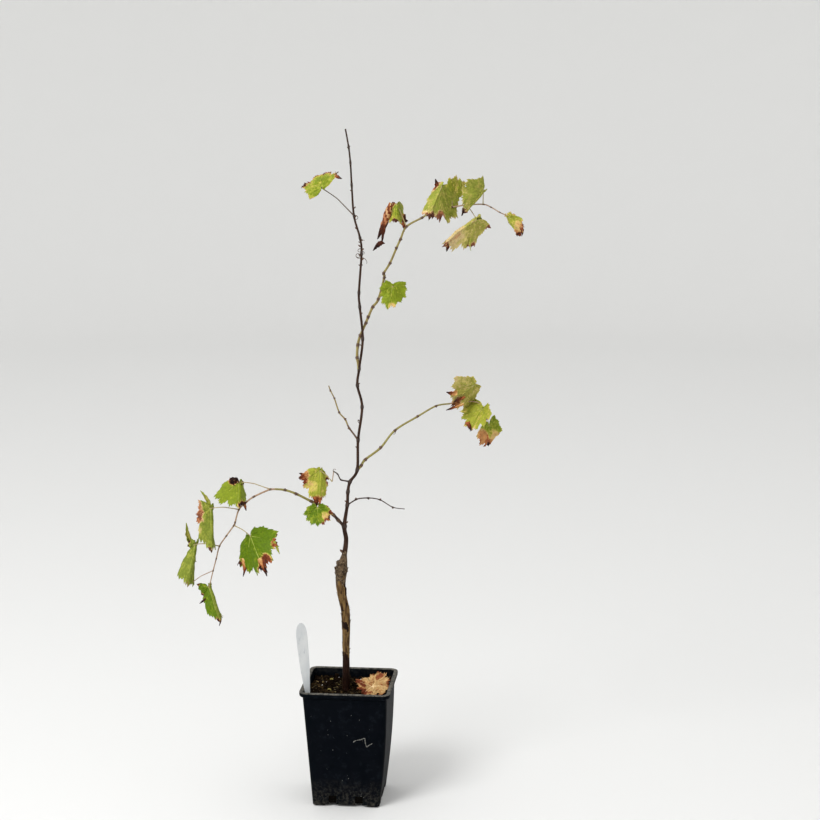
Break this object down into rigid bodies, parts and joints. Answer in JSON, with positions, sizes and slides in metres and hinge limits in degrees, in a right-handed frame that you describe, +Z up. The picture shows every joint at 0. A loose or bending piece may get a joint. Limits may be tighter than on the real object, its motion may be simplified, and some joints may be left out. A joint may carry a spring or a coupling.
{
  "type": "potted grapevine",
  "caption": "Young grafted grapevine with toothed autumn leaves on slender side shoots, growing in a square black nursery pot of compost.",
  "frame": {"origin": "centre of the pot's flat underside, on the ground", "axes": "+Z up along the stem, -Y the pot's front wall, +X towards the two right-hand shoots"},
  "size_m": [0.5516, 0.1911, 1.1099],
  "materials": {
    "black_plastic": "matte, dusty",
    "dark_compost": "coarse, rough",
    "brown_bark": "rough bark",
    "olive_shoot": "satin green wood",
    "dry_twig": "dry, matte",
    "vine_leaf": "satin leaf",
    "fallen_leaf": "dry leaf",
    "white_tag": "smooth"
  },
  "bodies": {
    "root": {"pot": "black_plastic", "soil": "dark_compost", "stem": "brown_bark", "bough_left": "olive_shoot", "bough_right_low": "olive_shoot", "bough_right_high": "olive_shoot", "shoot_left_short": "olive_shoot", "twig_right_dry": "dry_twig", "stub_left": "dry_twig", "foliage_stem_top": "vine_leaf", "foliage_bough_elbow": "vine_leaf", "foliage_bough_round": "vine_leaf", "foliage_right_high": "vine_leaf", "foliage_right_low": "vine_leaf", "foliage_stub": "vine_leaf", "foliage_fork": "vine_leaf", "foliage_left": "vine_leaf", "plant_tag": "white_tag", "fallen_leaf": "fallen_leaf"}
  },
  "joints": []
}
